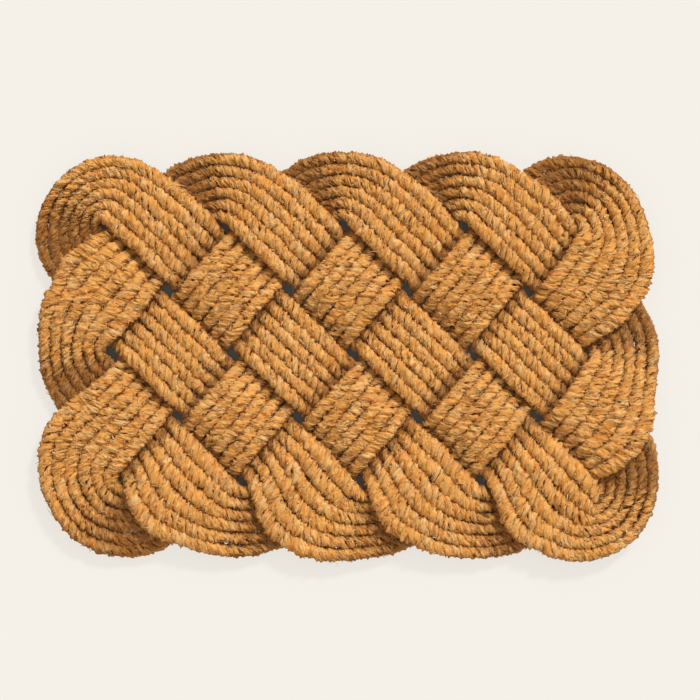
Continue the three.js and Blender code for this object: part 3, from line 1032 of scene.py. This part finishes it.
class DoorMatSizes(bpy.types.PropertyGroup):
    """Sizes of the mat's rope, fibres and twine."""

    lay_length: length_setting(
        "Lay length", "Distance in which a strand goes once round its rope",
        34 * MM, 20 * MM, 200 * MM)
    lay_unevenness: angle_setting(
        "Lay unevenness", "How far the twist hurries and lags along a rope", 0.6, 0, 3)
    wobble: angle_setting(
        "Wobble", "How far a strand strays from its place round the rope", 0.3, 0, 1)
    fullness: share_setting(
        "Fullness", "How much wider than in the CAD a loose rope spreads", 1.1, 0.9, 1.3)
    loft: share_setting(
        "Loft", "How much taller than in the CAD a loose rope stands", 1.03, 0.9, 1.2)
    lumpiness: share_setting(
        "Lumpiness", "Thick and thin places along a strand", 0.1, 0, 0.3)
    roughness: share_setting(
        "Roughness", "Small bumps all over a strand", 0.17, 0, 0.3)
    fibre_count: bpy.props.IntProperty(
        name="Stray fibres", description="Loose fibres on each rope",
        default=10000, min=0, max=11000)
    fibre_length: length_setting(
        "Fibre length", "Usual length of a loose fibre", 8 * MM, 2 * MM, 50 * MM)
    fibre_width: length_setting(
        "Fibre width", "Usual thickness of a loose fibre", 0.8 * MM, 0.1 * MM, 2 * MM)
    free_share: share_setting(
        "Free share", "Share of the loose fibres that stand well off the rope", 0.2, 0, 1)
    twine_width: length_setting(
        "Twine width", "Thickness of the twine wound round the rope ends",
        1.4 * MM, 0.5 * MM, 4 * MM)


class DoorMatColours(bpy.types.PropertyGroup):
    """Colours of the coir, the twine and the floor."""

    dark: colour_setting("Dark fibre", "The darker fibres", (0.50, 0.135, 0.007))
    main: colour_setting("Fibre", "Most of the fibres", (0.675, 0.350, 0.096))
    light: colour_setting("Light fibre", "The lighter fibres", (0.64, 0.435, 0.200))
    straw: colour_setting("Straw fibre", "The palest loose fibres", (0.70, 0.52, 0.29))
    red: colour_setting("Reddish patch", "Patches of redder fibre", (0.59, 0.28, 0.055))
    # colour of the painted shade deep between strands and between ropes
    hollow_shade: colour_setting("Hollow shade", "Deep between strands and between ropes", (0.30, 0.075, 0.004))
    # colour of the painted shade between the mat's two layers
    layer_shade: colour_setting("Layer shade", "Between the mat's two layers", (0.13, 0.030, 0.003))
    floor: colour_setting("Floor", "The floor the mat lies on", (0.912, 0.884, 0.826))


# --- the ropes and their bindings ---------------------------------------------------
def settings():
    """The sizes and the colours that now apply."""
    scene = bpy.context.scene
    return scene.door_mat_sizes, scene.door_mat_colours


class DOORMAT_OT_strands(bpy.types.Operator):
    """Lay the six ropes, each of three twisted strands"""

    bl_idname = "doormat.strands"
    bl_label = "Rope strands"

    def execute(self, context):
        sizes, colours = settings()
        material = fibrous_material("Coir rope", colours, fibre_width=1.9 * MM, relief=1.3 * MM)
        for rope in range(ROPE_COUNT):
            for strand in range(STRAND_COUNT):
                make_strand(rope, strand, sizes, material)
        return {"FINISHED"}


class DOORMAT_OT_stray_fibres(bpy.types.Operator):
    """Scatter loose fibres over the ropes"""

    bl_idname = "doormat.stray_fibres"
    bl_label = "Stray fibres"

    def execute(self, context):
        sizes, colours = settings()
        material = stray_fibre_material(colours)
        for rope in range(ROPE_COUNT):
            make_stray_fibres(rope, sizes, material)
        return {"FINISHED"}


class DOORMAT_OT_whippings(bpy.types.Operator):
    """Whip both ends of every rope with twine"""

    bl_idname = "doormat.whippings"
    bl_label = "End whippings"

    def execute(self, context):
        sizes, colours = settings()
        material = fibrous_material(
            "Whipping twine", colours, fibre_width=0.25 * MM, relief=0.2 * MM)
        for rope in range(ROPE_COUNT):
            for letter, way in (("a", 1), ("b", -1)):
                node = f"end_whipping_{rope + 1}{letter}"
                make_winding(f"{node}_twine", node, rope, way * WHIPPING_PLACE,
                             WHIPPING_LENGTH, sizes, material, "whipping_twine")
        return {"FINISHED"}


class DOORMAT_OT_seizings(bpy.types.Operator):
    """Bind the two ends of every rope together"""

    bl_idname = "doormat.seizings"
    bl_label = "Joint seizings"

    def execute(self, context):
        sizes, colours = settings()
        material = fibrous_material(
            "Seizing twine", colours, fibre_width=0.3 * MM, relief=0.2 * MM)
        for rope in range(ROPE_COUNT):
            node = f"joint_seizing_{rope + 1}"
            make_winding(f"{node}_twine", node, rope, 0.0, SEIZING_LENGTH,
                         sizes, material, "seizing_twine")
        return {"FINISHED"}


# --- the stage --------------------------------------------------------------------
FLOOR_SIZE = 120.0
FLOOR_PAINT = 0.15            # share of the floor's colour that answers to the lights
FLOOR_GLOW = 0.781            # and the strength of its own glow
DIM_GLOW = 0.02               # the same, under the mat
GLOW_INSET = 36 * MM          # the glow starts this far inside the mat's box
GLOW_CORNER = 65 * MM
GLOW_FADE = 8 * MM
CAMERA_POINT = (2.6 * MM, 7.8 * MM)
CAMERA_HEIGHT = 2.6
VIEW_WIDTH = 0.848            # metres across the view, at the height of the mat's top
SENSOR_WIDTH = 36.0
KEY_ELEVATION = 36.0          # degrees above the floor
KEY_BEARING = 58.0            # degrees from the mat's right, towards its far side
KEY_SOFTNESS = 9.0            # degrees across the sky
KEY_STRENGTH = 2.9
SKY_STRENGTH = 0.95
SKY_COLOUR = (1.0, 0.93, 0.82)


class DOORMAT_OT_stage(bpy.types.Operator):
    """Set up the floor, the light and the camera"""

    bl_idname = "doormat.stage"
    bl_label = "Stage"

    def execute(self, context):
        _, colours = settings()
        scene = context.scene
        scene.view_settings.view_transform = "Standard"
        self.floor(scene, colours)
        self.light(scene)
        self.camera(scene)
        return {"FINISHED"}

    def floor(self, scene, colours):
        """One flat square, far wider than any view of the mat."""
        half = FLOOR_SIZE / 2
        corners = [(-half, -half, 0), (half, -half, 0), (half, half, 0), (-half, half, 0)]
        mesh = bpy.data.meshes.new("floor")
        mesh.from_pydata(corners, [], [(0, 1, 2, 3)])
        mesh.materials.append(pale_floor_material(colours))
        floor = bpy.data.objects.new("floor", mesh)
        scene.collection.objects.link(floor)

    def light(self, scene):
        """A soft sky all round and one low key light from the far right."""
        world = bpy.data.worlds.new("Soft sky")
        scene.world = world
        world.use_nodes = True
        background = world.node_tree.nodes["Background"]
        background.inputs["Color"].default_value = (*SKY_COLOUR, 1)
        background.inputs["Strength"].default_value = SKY_STRENGTH
        lamp = bpy.data.lights.new("Key light", "SUN")
        lamp.energy = KEY_STRENGTH
        lamp.angle = math.radians(KEY_SOFTNESS)
        key = bpy.data.objects.new("Key light", lamp)
        tilt = math.radians(90 - KEY_ELEVATION)
        key.rotation_euler = (0, tilt, math.radians(KEY_BEARING))
        scene.collection.objects.link(key)

    def camera(self, scene):
        """Straight above, looking down, as wide as the view at the mat's top."""
        lens = bpy.data.cameras.new("Camera")
        lens.sensor_width = SENSOR_WIDTH
        lens.lens = SENSOR_WIDTH * (CAMERA_HEIGHT - MAT_TOP) / VIEW_WIDTH
        lens.clip_end = FLOOR_SIZE
        camera = bpy.data.objects.new("Camera", lens)
        camera.location = (*CAMERA_POINT, CAMERA_HEIGHT)
        scene.collection.objects.link(camera)
        scene.camera = camera


# --- the add-on -------------------------------------------------------------------
class DOORMAT_PT_panel(bpy.types.Panel):
    """The mat's sizes, colours and building steps"""

    bl_idname = "DOORMAT_PT_panel"
    bl_label = "Door Mat"
    bl_space_type = "VIEW_3D"
    bl_region_type = "UI"
    bl_category = "Door Mat"

    def draw(self, context):
        for group in settings():
            for name in group.__annotations__:
                self.layout.prop(group, name)
        for operator in OPERATORS:
            self.layout.operator(operator.bl_idname)


OPERATORS = (
    DOORMAT_OT_stage, DOORMAT_OT_strands, DOORMAT_OT_stray_fibres,
    DOORMAT_OT_whippings, DOORMAT_OT_seizings,
)
CLASSES = (DoorMatSizes, DoorMatColours, *OPERATORS, DOORMAT_PT_panel)


def register():
    for cls in CLASSES:
        bpy.utils.register_class(cls)
    bpy.types.Scene.door_mat_sizes = bpy.props.PointerProperty(type=DoorMatSizes)
    bpy.types.Scene.door_mat_colours = bpy.props.PointerProperty(type=DoorMatColours)


def unregister():
    del bpy.types.Scene.door_mat_colours
    del bpy.types.Scene.door_mat_sizes
    for cls in reversed(CLASSES):
        bpy.utils.unregister_class(cls)


def main():
    register()
    bpy.ops.doormat.stage()
    bpy.ops.doormat.strands()
    bpy.ops.doormat.stray_fibres()
    bpy.ops.doormat.whippings()
    bpy.ops.doormat.seizings()
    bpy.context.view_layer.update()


if __name__ == "__main__":
    main()
